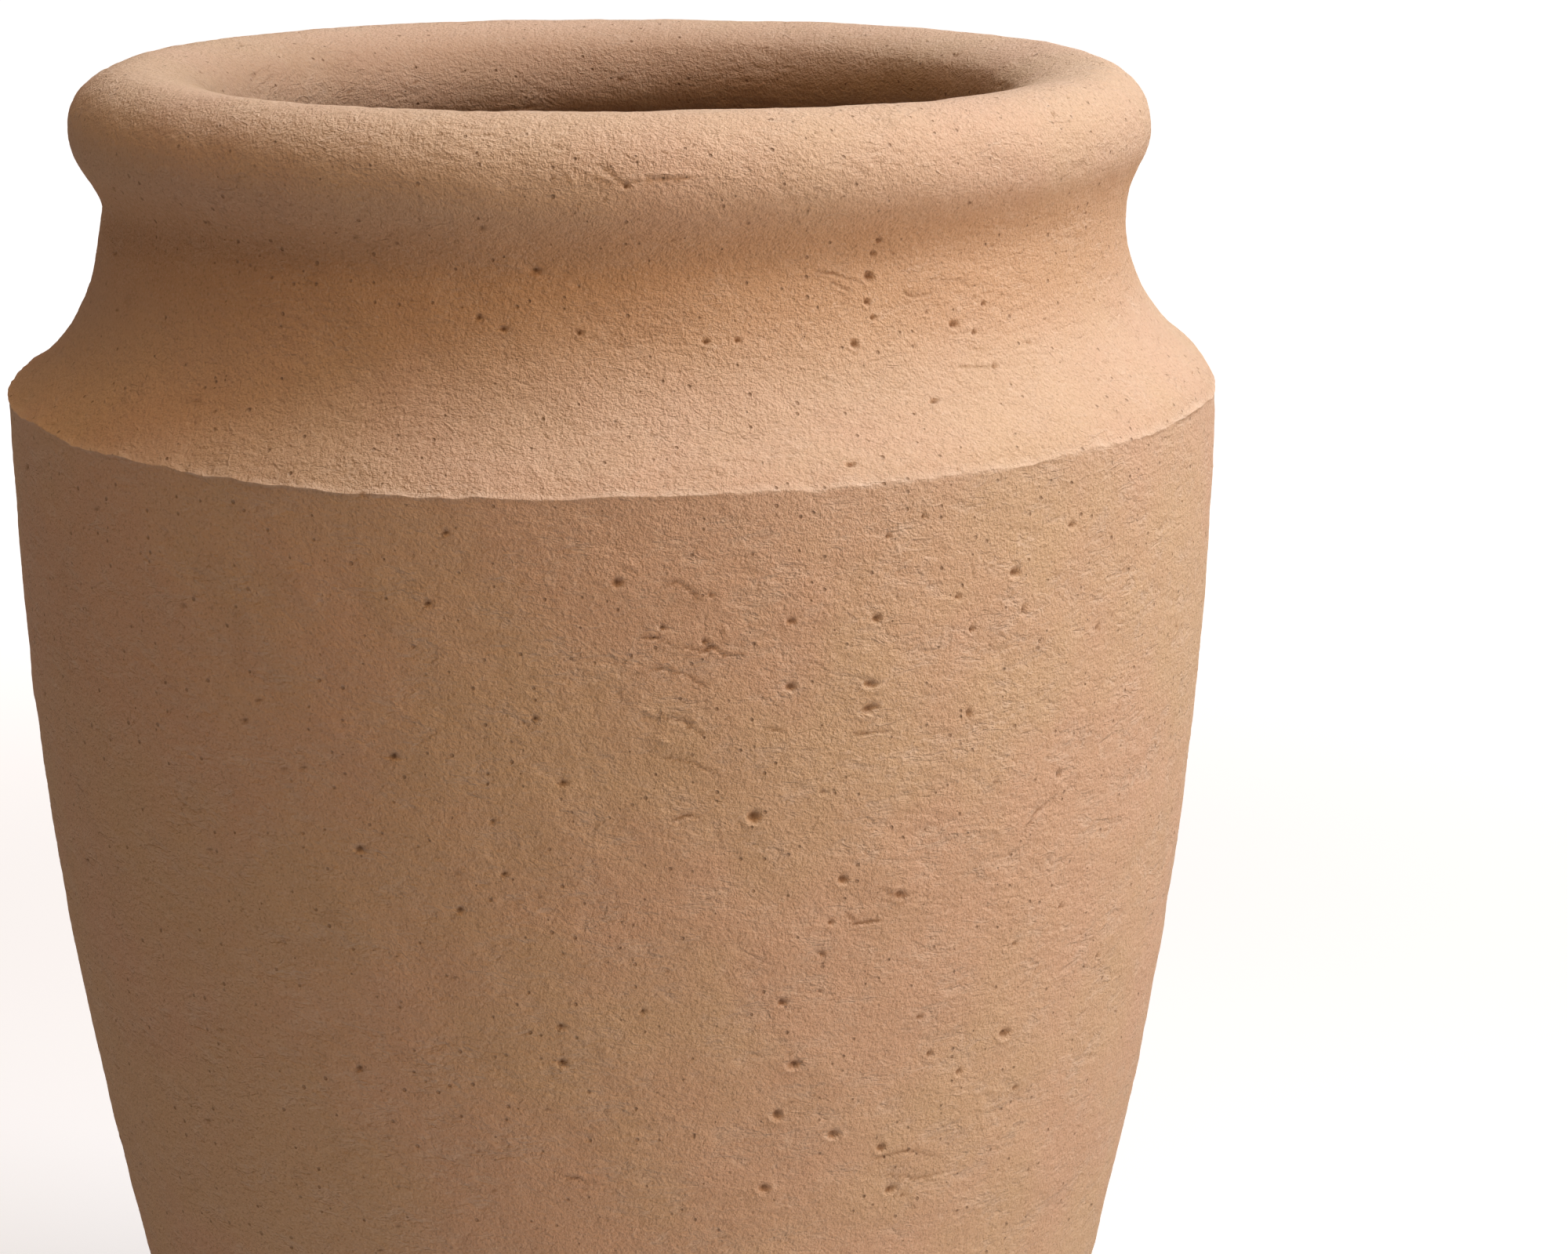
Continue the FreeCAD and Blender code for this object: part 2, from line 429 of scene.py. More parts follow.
# Pits seen in the photograph: across, down, width and height in its pixels
seenPits = [
    (791, 746, 13, 13), (568, 678, 10, 8), (548, 772, 11, 9), (496, 966, 13, 10), (1009, 876, 13, 11),
    (680, 919, 9, 8), (1116, 787, 13, 11), (1293, 731, 16, 13), (1366, 668, 14, 9), (1304, 776, 8, 18),
    (1222, 764, 9, 8), (1240, 802, 8, 10), (1397, 802, 9, 9), (1502, 802, 8, 12), (1233, 908, 9, 14),
    (1109, 873, 20, 11), (1134, 683, 9, 8), (1180, 657, 8, 7), (1084, 594, 15, 8), (1191, 512, 15, 7),
    (1219, 413, 15, 11), (1091, 439, 11, 12), (1114, 353, 14, 13), (1109, 387, 9, 9), (1254, 389, 8, 8),
    (1344, 146, 8, 13), (677, 349, 12, 9), (637, 420, 11, 7), (897, 436, 10, 6), (942, 436, 8, 6),
    (741, 424, 8, 6), (613, 404, 9, 7), (958, 1040, 17, 16), (714, 999, 12, 9), (463, 1084, 14, 10),
    (641, 1115, 10, 8), (586, 1159, 10, 9), (997, 1281, 11, 11), (461, 1361, 10, 9), (994, 1425, 13, 15),
    (714, 1308, 12, 9), (712, 1358, 14, 12), (821, 1291, 9, 7), (1151, 1142, 16, 11), (1351, 1160, 10, 9),
    (1397, 1222, 8, 12), (1281, 1318, 20, 14), (1189, 1345, 9, 12), (1222, 1368, 10, 12), (1294, 1388, 10, 9),
    (975, 1517, 16, 12), (1013, 1360, 20, 12), (1076, 1121, 13, 12), (1297, 1203, 9, 8), (1065, 1446, 18, 12),
    (1126, 1467, 14, 12), (1137, 1517, 18, 11), (1348, 988, 9, 16), (1107, 905, 24, 12), (1010, 791, 12, 9),
    (1118, 329, 7, 10), (1127, 310, 8, 6), (1115, 404, 7, 7), (1271, 467, 7, 10), (1246, 424, 6, 9),
    (845, 800, 8, 6), (802, 235, 8, 5), (900, 817, 8, 6), (1060, 1180, 7, 7), (1172, 1300, 9, 8),
]
# Lines dragged by a tool or a grain: across and down of each bend, then how deep in metres, or raised if under 0
seenLines = [
    ([(870, 824), (897, 829), (910, 827), (922, 835), (945, 839)], 0.0008),
    ([(842, 746), (865, 744), (882, 755), (892, 765)], 0.0007), ([(858, 1046), (875, 1041), (894, 1044)], 0.0008),
    ([(1077, 1166), (1094, 1179), (1107, 1176), (1124, 1176)], 0.0009), ([(760, 209), (780, 221), (802, 235)], 0.0005),
    ([(739, 220), (780, 230), (830, 227), (865, 225), (886, 224)], -0.0006), ([(720, 216), (736, 236)], -0.0005),
    ([(820, 812), (837, 814), (862, 825)], 0.0005), ([(808, 862), (846, 856), (880, 866), (902, 876)], 0.0004),
    ([(838, 912), (874, 925), (900, 938)], 0.0005), ([(1040, 945), (1090, 938), (1136, 935)], 0.0004),
    ([(846, 965), (884, 975), (918, 992)], 0.0005), ([(1126, 1135), (1150, 1146), (1170, 1140)], 0.0005),
    ([(720, 1500), (742, 1508), (766, 1511)], 0.0006), ([(1120, 1478), (1156, 1470), (1206, 1476)], 0.0005),
    ([(1128, 1500), (1170, 1503), (1206, 1498)], 0.0005), ([(1310, 1060), (1324, 1036), (1350, 1012)], 0.0006),
    ([(911, 264), (916, 279), (921, 294)], -0.0004), ([(792, 715), (803, 722), (815, 732)], -0.0005),
    ([(822, 904), (847, 915)], -0.0005), ([(857, 912), (882, 920)], 0.0005), ([(832, 940), (852, 947)], -0.0005),
    ([(920, 797), (930, 815)], -0.0004), ([(980, 932), (999, 931)], 0.0006), ([(1045, 1216), (1055, 1221)], 0.0006),
    ([(1044, 349), (1066, 353), (1100, 361)], 0.0005), ([(1060, 362), (1088, 375)], 0.0005),
    ([(1156, 373), (1168, 379), (1192, 375)], 0.0004), ([(1040, 476), (1052, 482), (1070, 488)], 0.0005),
    ([(1224, 469), (1270, 466)], 0.0003), ([(1188, 357), (1234, 358)], 0.0003),
]
pixelSize = 0.00033               # metres that one of its pixels covers on the jar's front
# Rise of the sharp edge over its mean height, in millimetres, at degrees round from the camera
seenEdge = [(-30, -0.5), (-22, -0.55), (-16, -0.45), (-8, -0.35), (-5, -0.4), (-4, 0.0), (-2, 1.0), (0, 0.9), (3, 0.65),
            (8, 0.9), (11.5, 1.0), (14, 0.4), (17, -0.25), (20, 0.35), (26, 0.5), (32, 0.65), (36, 0.3), (42, 0.2),
            (50, 0.1), (56, 0.6), (62, 1.0), (70, 1.2), (90, 1.0)]


def fillMouth(points, travel):
    # the roll's extra fullness inside the mouth, pushed level inwards: none at the crown, full a little way
    # down, and gone again below the rim's seat
    full = within(travel, crownTravel, crownTravel + relief["mouthGrowth"],
                  innerSeats[-1] - relief["mouthLevel"], innerSeats[-1] + relief["mouthFade"])
    radius = np.maximum(onLine(travel)[0], leastRadius)
    points[..., :2] *= 1 - (relief["mouthFull"] * full / radius)[:, None, None]
    return points


def pressIn(travel, angle, reach, shape):
    # adds a shape's change of height to the skin within reach of one spot, and its painted shade where that is darker;
    # the shape gets the places across and along from the spot, both measured on the surface in metres
    rows = slice(*np.searchsorted(travelRows, [travel - reach, travel + reach]))
    radius = max(float(np.interp(travel, travelRows, rowRadius)), leastRadius)
    turned = (fineAngles - angle + math.pi) % (2 * math.pi) - math.pi
    columns = np.nonzero(np.abs(turned) * radius < reach)[0]
    if rows.stop > rows.start and len(columns):
        across = (turned[columns] * radius)[None, :]
        along = (travelRows[rows] - travel)[:, None]
        change, dark = shape(across, along)
        lift[rows, columns] += change
        paintedShadeAndWear[rows, columns] = np.maximum(paintedShadeAndWear[rows, columns], dark)


marks = {
    "shareSeen": 0.56,            # a pit's half width to the width that is seen
    "leastSeen": 8,               # narrower pits are made this wide, in pixels
    "depthShare": 0.62,           # of the narrower half width, and more by the extra depth
    "extraDepth": 0.0006,
    "reach": 2.2,                 # half widths out to which a pit and its lip are felt
    "lipHeight": 0.26,            # of the depth
    "lipPlace": 1.25,             # half widths out from the middle
    "lipWidth": 0.3,
    "lineWidth": (0.0014, 0.0020),     # half sizes of the small bowls that make up a line
    "lineHeight": (0.0008, 0.0011),
    "lineDepth": (0.65, 0.90),
    "lineStep": 3,                # pixels
    # painted shade in a sunk line
    "linePaintedShade": 0.55,
    "lineReach": 0.004,
    "lineWander": 0.00018,
    "pits": 900,                  # more pits, strewn over the whole jar
    "smallest": 0.0007,
    "largest": 0.0022,
    "rarity": 2.2,                # over 1, and most of them are small
}


def pitShape(width, height, depth, tilt, paintedShade=1.0):
    # a bowl (1 - t * t) to the power 1.5 inside an oval, with a low lip pushed up round its lower side, and the
    # brown painted shade inside it
    def shape(across, along):
        turnedX = across * math.cos(tilt) + along * math.sin(tilt)
        turnedY = -across * math.sin(tilt) + along * math.cos(tilt)
        t = np.sqrt((turnedX / width) ** 2 + (turnedY / height) ** 2)
        bowl = np.clip(1 - t * t, 0, 1) ** 1.5
        lip = np.exp(-((t - marks["lipPlace"]) / marks["lipWidth"]) ** 2) * (0.5 - 0.5 * np.tanh(turnedY / height))
        return depth * (marks["lipHeight"] * lip - bowl), paintedShade * bowl ** 2
    return shape


sparseSkin = drawnSkin[::2, ::2]
pixelX, pixelY = inPicture(sparseSkin)
toCamera = np.array(picture["place"]) - sparseSkin
outNow = normalsOf(slopes(sparseSkin, 1, True), slopes(sparseSkin, 0, False))
turnedAway = np.where((toCamera * outNow).sum(-1) > 0.05, 0, 1e6)    # rules out skin that the camera can't see


def onSkin(across, down):
    # travel and angle of the skin that shows at one pixel of the photograph: the nearest facing grid point
    away = (pixelX - across) ** 2 + (pixelY - down) ** 2 + turnedAway
    row, column = np.unravel_index(np.argmin(away), away.shape)
    return travelRows[2 * row], fineAngles[2 * column]


rng = np.random.default_rng(18)
for across, down, width, height in seenPits:
    travel, angle = onSkin(across, down)
    wide, high = [max(size, marks["leastSeen"]) * pixelSize * marks["shareSeen"] for size in (width, height)]
    depth = marks["depthShare"] * min(wide, high) + marks["extraDepth"]
    pressIn(travel, angle, marks["reach"] * max(wide, high), pitShape(wide, high, depth, rng.uniform(-0.3, 0.3)))
for bends, depth in seenLines:
    spots = np.array([onSkin(*bend) for bend in bends])
    way = sum(math.dist(here, there) for here, there in zip(bends[:-1], bends[1:]))
    steps = np.linspace(0, len(bends) - 1, max(8, round(way / marks["lineStep"])))
    # sunk lines get painted shade, raised ones none
    paintedShade = marks["linePaintedShade"] if depth > 0 else 0.0
    for share, travel, angle in zip(steps / steps[-1],
                                    np.interp(steps, range(len(bends)), spots[:, 0]),
                                    np.interp(steps, range(len(bends)), spots[:, 1])):
        # shallower towards both ends
        deep = depth * math.sin(math.pi * (0.12 + 0.76 * share)) * rng.uniform(*marks["lineDepth"])
        wide, high = rng.uniform(*marks["lineWidth"]), rng.uniform(*marks["lineHeight"])
        beside = rng.normal(0, marks["lineWander"])
        pressIn(travel + beside, angle, marks["lineReach"], pitShape(wide, high, deep, 0.0, paintedShade))
for count in range(marks["pits"]):
    size = marks["smallest"] * (marks["largest"] / marks["smallest"]) ** (rng.uniform() ** marks["rarity"])
    oval = rng.uniform(0.6, 1.0)
    travel, angle = rng.uniform(footTravel, innerSeats[-1]), rng.uniform(0, 2 * math.pi)
    pressIn(travel, angle, marks["reach"] * size, pitShape(size, size * oval, size / 2, rng.normal(0, 0.35)))
print("pits and grooves pressed in:", len(seenPits) + marks["pits"], "and", len(seenLines))

# The sharp edge: its waves, its lip, its wear at the right, and the hollow pressed in under the rim
edgeRing = np.stack([bodyRadius * np.cos(fineAngles), bodyRadius * np.sin(fineAngles), 0 * fineAngles], -1)
edgeTurn = fromCamera(fineAngles)
edgeKnown = within(edgeTurn, *relief["edgeSeen"])
edgeRead = np.interp(edgeTurn, *np.array(seenEdge).T) / 1000
edgeRise = (1 - edgeKnown) * relief["edgeWave"] * waves(edgeRing, "edgeWave") + edgeKnown * edgeRead
edgeRise += relief["edgeRag"] * waves(edgeRing, "edgeRag")
aboveEdge = np.clip(travelRows - edgeTravel, 0, None)
upperSide = travelRows >= edgeTravel
edgeFade = np.exp(-((travelRows - edgeTravel) / relief["edgeReach"]) ** 2)
lipRun = np.clip(1 - aboveEdge / relief["edgeLipWidth"], 0, 1) ** 2 * upperSide
lift += relief["edgeLip"] * lipRun[:, None] * (1 + relief["edgeLipUneven"] * waves(edgeRing, "edgeLip"))
rootTravel = neckTravel + relief["rootPlace"] * (rollTravel - neckTravel)
root = np.exp(-((travelRows - rootTravel) / relief["rootReach"]) ** 2)
lift -= relief["rootHollow"] * root[:, None] * (1 - within(edgeTurn, *relief["rootPlain"]))
lift -= relief["edgeWorn"] * edgeFade[:, None] * within(edgeTurn, *relief["edgeWornAt"])
lift[0] = 0
outer = skinPoints(travelRows, fineAngles, lift, edgeFade[:, None] * edgeRise[None, :])
outer = fillMouth(outer, travelRows)

# pale band above the sharp edge: partly wear, partly painted highlight where the edge catches the light
edgeWearAndHighlightRun = np.exp(-(aboveEdge / relief["edgeWearAndHighlightWidth"]) ** 2) * upperSide
wearAndHighlight = edgeWearAndHighlightRun[:, None] * (relief["edgeWearAndHighlight"] + relief["edgeWearAndHighlightUneven"] * waves(edgeRing, "edgeWearAndHighlight"))
paintedShadeAndWear = np.where(paintedShadeAndWear > 0.02, paintedShadeAndWear, -wearAndHighlight)    # a pit in the pale band keeps its painted shade
# painted shade inside the mouth, from a little past the crown
insidePaintedShadeRun = eased(travelRows, crownTravel + relief["insidePaintedShadeFrom"], crownTravel + relief["insidePaintedShadeFull"])
paintedShadeAndWear += relief["insidePaintedShade"] * insidePaintedShadeRun[:, None]

around = slopes(outer, 1, True)
outerNormals = normalsOf(around, slopes(outer, 0, False))
edgeBelow = normalsOf(around[edgeRow], outer[edgeRow] - outer[edgeRow - 1])
edgeAbove = normalsOf(around[edgeRow], outer[edgeRow + 1] - outer[edgeRow])
outerNormals[0] = (0, 0, -1)
print("outer skin:", outer.shape[0], "rows by", outer.shape[1], "columns")


def innerRows():
    # travel of the inner rows from the rim's inner seat down to the floor's centre, with each seat's row
    ends = list(innerSeats[::-1]) + [partStarts[-2]]
    rows, seatAt = [np.array([ends[0]])], [0]
    for start, end in zip(ends[:-1], ends[1:]):
        count = max(4, round((end - start) / grid["innerStep"]))
        rows.append(np.linspace(start, end, count + 1)[1:])
        seatAt.append(seatAt[-1] + count)
    return np.concatenate(rows), seatAt


innerTravel, innerSeatRows = innerRows()
aheadTravel = np.concatenate([[innerTravel[0] - grid["innerStep"]], innerTravel])
drawnInside = skinPoints(aheadTravel, coarseAngles, np.zeros((len(aheadTravel), len(coarseAngles))))
innerLift = relief["slow"] * waves(drawnInside, "slow")
innerLift += relief["insideHand"] * waves(drawnInside, "hand")
ringTurn = 2 * math.pi * aheadTravel[:, None] / relief["ringSpacing"]
ringTurn = ringTurn + relief["ringWander"] * waves(drawnInside, "ringWander")
ringFade = eased(aheadTravel - innerSeats[-1], 0, relief["ringFade"])
innerLift += relief["ringHeight"] * np.cos(ringTurn) * ringFade[:, None]
seamUneven = relief["seamEven"] + relief["seamUneven"] * waves(drawnInside, "seams")
for seatTravel in innerSeats[:edgeSeat + 1]:
    smear = np.exp(-((aheadTravel - seatTravel) / relief["seamReach"]) ** 2)[:, None]
    innerLift -= relief["seamDepth"] * smear * seamUneven
innerLift -= relief["inset"]
inner = fillMouth(skinPoints(aheadTravel, coarseAngles, innerLift), aheadTravel)
inner[1] = outer[-1, ::grid["innerShare"]]
innerNormals = normalsOf(slopes(inner, 1, True), slopes(inner, 0, False))[1:]
inner = inner[1:]
innerNormals[0] = outerNormals[-1, ::grid["innerShare"]]
# painted shade on the inner skin and the floor
insidePaintedShade = np.full(len(coarseAngles), relief["insidePaintedShade"])
print("inner skin:", inner.shape[0], "rows by", inner.shape[1], "columns")


def ringOf(radius, height, angles=coarseAngles):
    # one level ring
    return np.stack([radius * np.cos(angles), radius * np.sin(angles), height + 0 * angles], -1)


def stripFaces(first, firstCount, second, secondCount):
    # faces between two rings, each given by its first point's number and its count: squares where the counts
    # match, and where one ring has four times the points, five triangles to each of the other's sides
    if firstCount == secondCount:
        a = np.arange(firstCount)
        b = (a + 1) % firstCount
        return np.stack([first + a, first + b, second + b, second + a], -1), np.zeros((0, 3), int)
    few, many = min(firstCount, secondCount), max(firstCount, secondCount)
    share = many // few
    fewStart, manyStart = (second, first) if firstCount > secondCount else (first, second)
    j = np.arange(few)
    near, far = fewStart + j, fewStart + (j + 1) % few
    faces = []
    for step in range(share):
        m, n = manyStart + share * j + step, manyStart + (share * j + step + 1) % many
        faces.append(np.stack([m, n, near if step < share // 2 else far], -1))
    faces.append(np.stack([manyStart + share * j + share // 2, far, near], -1))
    made = np.concatenate(faces)
    return np.zeros((0, 4), int), made if firstCount > secondCount else made[:, ::-1]


def makeSection(name, rings, firstPole=None, lastPole=None):
    # one closed clay section from its rings in order along the line; each ring has its points, their normals or
    # None for a hidden face, their painted shade and pale wear or None, and "skin" or "seat"; faces between a ring of
    # skin and one of a seat are flat; a pole closes an end, otherwise the last ring joins the first
    starts = np.cumsum([0] + [len(ring[0]) for ring in rings])
    points = [ring[0] for ring in rings]
    normals = [np.zeros_like(ring[0]) if ring[1] is None else ring[1] for ring in rings]
    dark = [np.zeros(len(ring[0])) if ring[2] is None else ring[2] for ring in rings]
    squares, triangles, plainSquares, plainTriangles = [], [], [], []
    pairs = [(k, k + 1) for k in range(len(rings) - 1)]
    if lastPole is None:
        pairs.append((len(rings) - 1, 0))
    for k, following in pairs:
        square, triangle = stripFaces(starts[k], len(rings[k][0]), starts[following], len(rings[following][0]))
        hidden = rings[k][1] is None or rings[following][1] is None or rings[k][3] != rings[following][3]
        (plainSquares if hidden else squares).append(square)
        (plainTriangles if hidden else triangles).append(triangle)
    total = starts[-1]
    for pole, k in ((firstPole, 0), (lastPole, len(rings) - 1)):
        if pole is not None:
            ring = starts[k] + np.arange(len(rings[k][0]))
            after = np.roll(ring, -1)
            tip = np.full_like(ring, total)
            fan = [ring, after, tip] if k else [after, ring, tip]
            triangles.append(np.stack(fan, -1))
            points.append(np.array([pole[0]]))
            normals.append(np.array([pole[1]]))
            dark.append(dark[k][:1])
            total += 1
    points, normals, dark = np.concatenate(points), np.concatenate(normals), np.concatenate(dark)
    squares, plainSquares = np.concatenate(squares), np.concatenate(plainSquares or [np.zeros((0, 4), int)])
    triangles, plainTriangles = np.concatenate(triangles), np.concatenate(plainTriangles or [np.zeros((0, 3), int)])

    def flatNormals(faces):
        # each face's own normal, once for each of its corners
        side = np.cross(points[faces[:, 1]] - points[faces[:, 0]], points[faces[:, 2]] - points[faces[:, 0]])
        side /= np.maximum(np.linalg.norm(side, axis=1, keepdims=True), 1e-15)
        return np.repeat(side, faces.shape[1], 0)

    corners = np.concatenate([squares.ravel(), plainSquares.ravel(), triangles.ravel(), plainTriangles.ravel()])
    cornerNormals = np.concatenate([normals[squares.ravel()], flatNormals(plainSquares),
                                    normals[triangles.ravel()], flatNormals(plainTriangles)])
    sides = np.concatenate([np.full(len(squares) + len(plainSquares), 4),
                            np.full(len(triangles) + len(plainTriangles), 3)])
    mesh = bpy.data.meshes.new(name + "_clay")
    mesh.vertices.add(len(points))
    mesh.vertices.foreach_set("co", points.ravel())
    mesh.loops.add(len(corners))
    mesh.loops.foreach_set("vertex_index", corners)
    mesh.polygons.add(len(sides))
    mesh.polygons.foreach_set("loop_start", np.concatenate([[0], np.cumsum(sides)[:-1]]))
    mesh.polygons.foreach_set("use_smooth", np.ones(len(sides), bool))
    mesh.attributes.new("paintedShadeAndWear", "FLOAT", "POINT").data.foreach_set("value", dark)
    mesh.update()
    mesh.normals_split_custom_set(cornerNormals)
    piece = bpy.data.objects.new(name + "_clay", mesh)
    bpy.context.scene.collection.objects.link(piece)
    return piece


def seatRings(height, outside, inside):
    # the hidden rings of a seat, from outside in, between the lengths of travel where the line passes it
    radius = onLine([outside])[0][0], onLine([inside])[0][0]
    return [(ringOf(*corner), None, None, "seat") for corner in seatCorners(radius, height)]


def fineRings(start, end):
    # outer rows start to end, with the sharp edge's own side's normals
    rings = []
    for row in range(start, end + 1):
        normal = outerNormals[row]
        if row == edgeRow:
            normal = edgeBelow if end == edgeRow else edgeAbove
        rings.append((outer[row], normal, paintedShadeAndWear[row], "skin"))
    return rings


def coarseRings(start, end):
    # inner rows start to end
    return [(inner[row], innerNormals[row], insidePaintedShade, "skin") for row in range(start, end + 1)]


pieces = {}
names = jar["sections"]
last = len(names) - 1
for k, name in enumerate(names):
    low, high = seatRows[k], seatRows[k + 1]
    rings = fineRings(low, high)
    if k < last:
        rings += seatRings(seatHeights[k], outerSeats[k], innerSeats[k])
        innerTop, innerLow = innerSeatRows[last - 1 - k], innerSeatRows[last - k]
        rings += coarseRings(innerTop, innerLow)
    if k > 0:
        rings += seatRings(seatHeights[k - 1], outerSeats[k - 1], innerSeats[k - 1])[::-1]
        pieces[name] = makeSection(name, rings)
    else:
        footRadius = onLine([footTravel])[0][0]
        down, up = np.array([[0, 0, -1.0]]), np.array([[0, 0, 1.0]])
        under = [(ringOf(footRadius * share, 0.0), np.repeat(down, len(coarseAngles), 0), None, "skin")
                 for share in (0.25, 0.5, 0.75, 0.97)]
        floorRadius = onLine([partStarts[-2]])[0][0]
        floor = [(ringOf(floorRadius * share, jar["floorThickness"] - relief["inset"]),
                  np.repeat(up, len(coarseAngles), 0), insidePaintedShade, "skin") for share in (0.75, 0.5, 0.25)]
        pieces[name] = makeSection(name, under + rings + floor, ((0, 0, 0), (0, 0, -1)),
                                   ((0, 0, jar["floorThickness"] - relief["inset"]), (0, 0, 1)))
    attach(pieces[name], "root")
    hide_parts(name)
    print("section made:", name, len(pieces[name].data.polygons), "faces")


class Wire:
    # a socket of a material's tree; + - * / on values add Math nodes, and node() adds any other node
    def __init__(self, tree, socket=None):
        self.tree = tree
        self.socket = socket

    def node(self, kind, settings=None, inputs=None, output=0):
        made = self.tree.nodes.new("ShaderNode" + kind)
        for setting, value in (settings or {}).items():
            setattr(made, setting, value)
        for name, value in (inputs or {}).items():
            if isinstance(value, Wire):
                self.tree.links.new(value.socket, made.inputs[name])
            else:
                made.inputs[name].default_value = value
        return Wire(self.tree, made.outputs[output]) if made.outputs else None

    def maths(self, operation, first, second=None):
        values = {0: first} if second is None else {0: first, 1: second}
        return self.node("Math", {"operation": operation}, values)

    def __add__(self, other):
        return self.maths("ADD", self, other)

    def __sub__(self, other):
        return self.maths("SUBTRACT", self, other)

    def __rsub__(self, other):
        return self.maths("SUBTRACT", other, self)

    def __mul__(self, other):
        return self.maths("MULTIPLY", self, other)

    def __truediv__(self, other):
        return self.maths("DIVIDE", self, other)

    def __rtruediv__(self, other):
        return self.maths("DIVIDE", other, self)

    __radd__ = __add__
    __rmul__ = __mul__

    def eased(self, low, high):
        # 0 at low, 1 at high, with a smooth rise between
        return self.node("MapRange", {"interpolation_type": "SMOOTHSTEP"},
                         {"Value": self, "From Min": low, "From Max": high})


clay = {
    "pink": (0.718, 0.502, 0.354, 1),
    "tan": (0.700, 0.518, 0.343, 1),
    "brown": (0.585, 0.410, 0.275, 1),
    "cream": (0.690, 0.525, 0.410, 1),
    # painted shade: warmer and darker under the rim
    "paintedShadeGold": (0.660, 0.435, 0.265, 1),
    # painted shade in pits, creases, chips, pinholes and inside
    "paintedShadeBrown": (0.240, 0.130, 0.070, 1),
    "darkGrain": (0.300, 0.190, 0.120, 1),
    "lightGrain": (0.800, 0.650, 0.510, 1),
    "wearAndHighlight": (0.800, 0.640, 0.500, 1),
    # how much of a colour shows where it shows most
    "brownShare": 0.30,
    "creamShare": 0.40,
    "paintedShadeGoldShare": 0.75,
    "lightGrainShare": 0.38,
    "darkGrainShare": 0.32,
    # pale painted highlights round patches, chips and raised lines; wear and painted highlight above the sharp edge
    "patchHighlight": 1.3,
    "chipHighlight": 1.1,
    "ridgeHighlight": 0.30,
    "edgeWearAndHighlight": 0.5,
    "mostWearAndHighlight": 0.8,
    # painted shade in creases, chips, pinholes, pits and inside
    "creaseShade": 0.14,
    "chipShade": 0.06,
    "holeShade": 0.48,
    "hollowShade": 0.70,
    "mostShade": 0.85,
    "roughness": 0.92,
    "specular": 0.25,
    "grainHeight": 0.00090,       # metres, as the heights and depths under it
    "crumpleHeight": 0.00155,
    "patchDepth": 0.00065,
    "chipDepth": 0.00020,
    "ridgeHeight": 0.00022,
    "creaseDepth": 0.00018,
    "holeDepth": 0.00070,
    "holesPerMetre": 230.0,
    "smallestHole": 0.001,        # to the spacing of the holes, as the widest
    "widestHole": 0.24,
    "lineSharpness": 16.0,
    "collarCalm": 0.55,           # how much less torn the collar is
}
# Each pattern's scale per metre, detail, roughness, distortion, how much finer it is upwards, and its tilt
patterns = {
    "grain": (700, 2.0, 0.7, 0.0, 1.0, 0.0),
    "crumple": (210, 4.0, 0.78, 0.0, 1.3, 0.06),
    "broken": (46, 2.0, 0.65, 0.0, 1.5, 0.0),
    "patch": (58, 4.0, 0.64, 0.6, 2.3, 0.10),
    "chip": (190, 3.0, 0.60, 0.4, 2.2, -0.12),
    "line": (55, 2.0, 0.5, 0.3, 2.4, -0.08),
    "raised": (38, 1.0, 0.5, 0.0, 1.0, 0.0),
    "tan": (9, 3.0, 0.6, 0.0, 1.0, 0.0),
    "brown": (26, 3.0, 0.6, 0.0, 1.5, 0.0),
    "sand": (900, 1.0, 0.5, 0.0, 1.0, 0.0),
}
# The two values between which each mask rises from 0 to 1
masks = {
    "broken": (0.42, 0.62),
    "patch": (0.47, 0.63),
    "chip": (0.48, 0.66),
    "line": (0.1, 0.95),
    "raised": (0.57, 0.67),
    "holeSize": (0.45, 1.0),
    "holeRim": (0.0, 0.6),
    "holeKept": (0.64, 0.68),
    "tan": (0.38, 0.62),
    "brown": (0.50, 0.78),
    "sand": (0.58, 0.70),
    "collar": (0.54, 0.60),       # heights in metres, as the two under it
    "overNeck": (0.598, 0.634),
    "overHollow": (0.652, 0.672),
}


def mixed(start, share, first, second):
    # two colours mixed by a share
    return start.node("Mix", {"data_type": "RGBA"}, {0: share, 6: first, 7: second}, 2)


